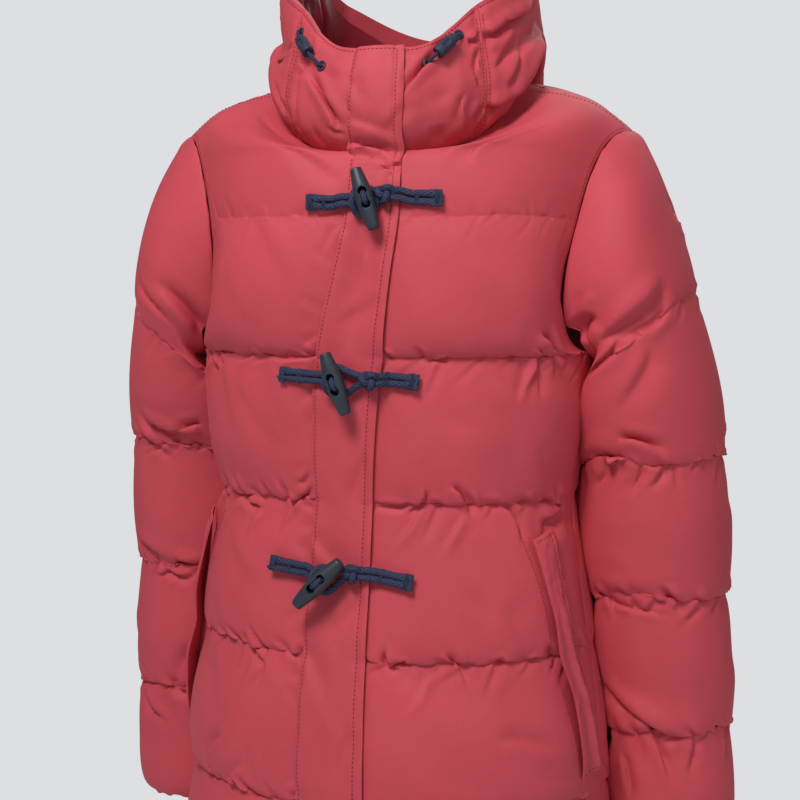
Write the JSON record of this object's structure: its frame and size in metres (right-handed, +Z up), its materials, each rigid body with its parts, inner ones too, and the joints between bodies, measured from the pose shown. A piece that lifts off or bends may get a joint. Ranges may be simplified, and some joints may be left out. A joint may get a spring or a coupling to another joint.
{
  "type": "padded hooded toggle coat",
  "caption": "Padded, channel-quilted hooded coat in its worn shape, with toggle closing over a stitched front flap, slanted pockets and the hood pushed back.",
  "frame": {"origin": "middle of the neck opening, level with the neck ends of the shoulder seams, on the wearer's upright axis", "axes": "+Z up, -Y the way the coat's front faces, +X towards the wearer's left"},
  "size_m": [0.5526, 0.3274, 0.9066],
  "materials": {
    "shell": "matte woven polyester, coral red",
    "lining": "smooth satin, deep red",
    "cord": "braided cord, navy",
    "toggle": "matte, slate navy",
    "stopper": "matte, navy"
  },
  "bodies": {
    "root": {"back": "shell", "chin_panel_left": "shell", "chin_panel_right": "shell", "cord_stopper_left": "stopper", "cord_stopper_right": "stopper", "eyelet_lower_left": "stopper", "eyelet_lower_right": "stopper", "eyelet_upper_left": "stopper", "eyelet_upper_right": "stopper", "front_flap": "shell", "front_left": "shell", "front_right": "shell", "hood_centre": "shell", "hood_cord_left": "cord", "hood_cord_right": "cord", "hood_lining": "lining", "hood_side_left": "shell", "hood_side_right": "shell", "loop_cord_1": "cord", "loop_cord_2": "cord", "loop_cord_3": "cord", "loop_wrap_1": "cord", "loop_wrap_2": "cord", "loop_wrap_3": "cord", "pocket_welt_left": "shell", "pocket_welt_right": "shell", "sleeve_left": "shell", "sleeve_right": "shell", "toggle_1": "toggle", "toggle_2": "toggle", "toggle_3": "toggle", "toggle_cord_1": "cord", "toggle_cord_2": "cord", "toggle_cord_3": "cord"}
  },
  "joints": []
}
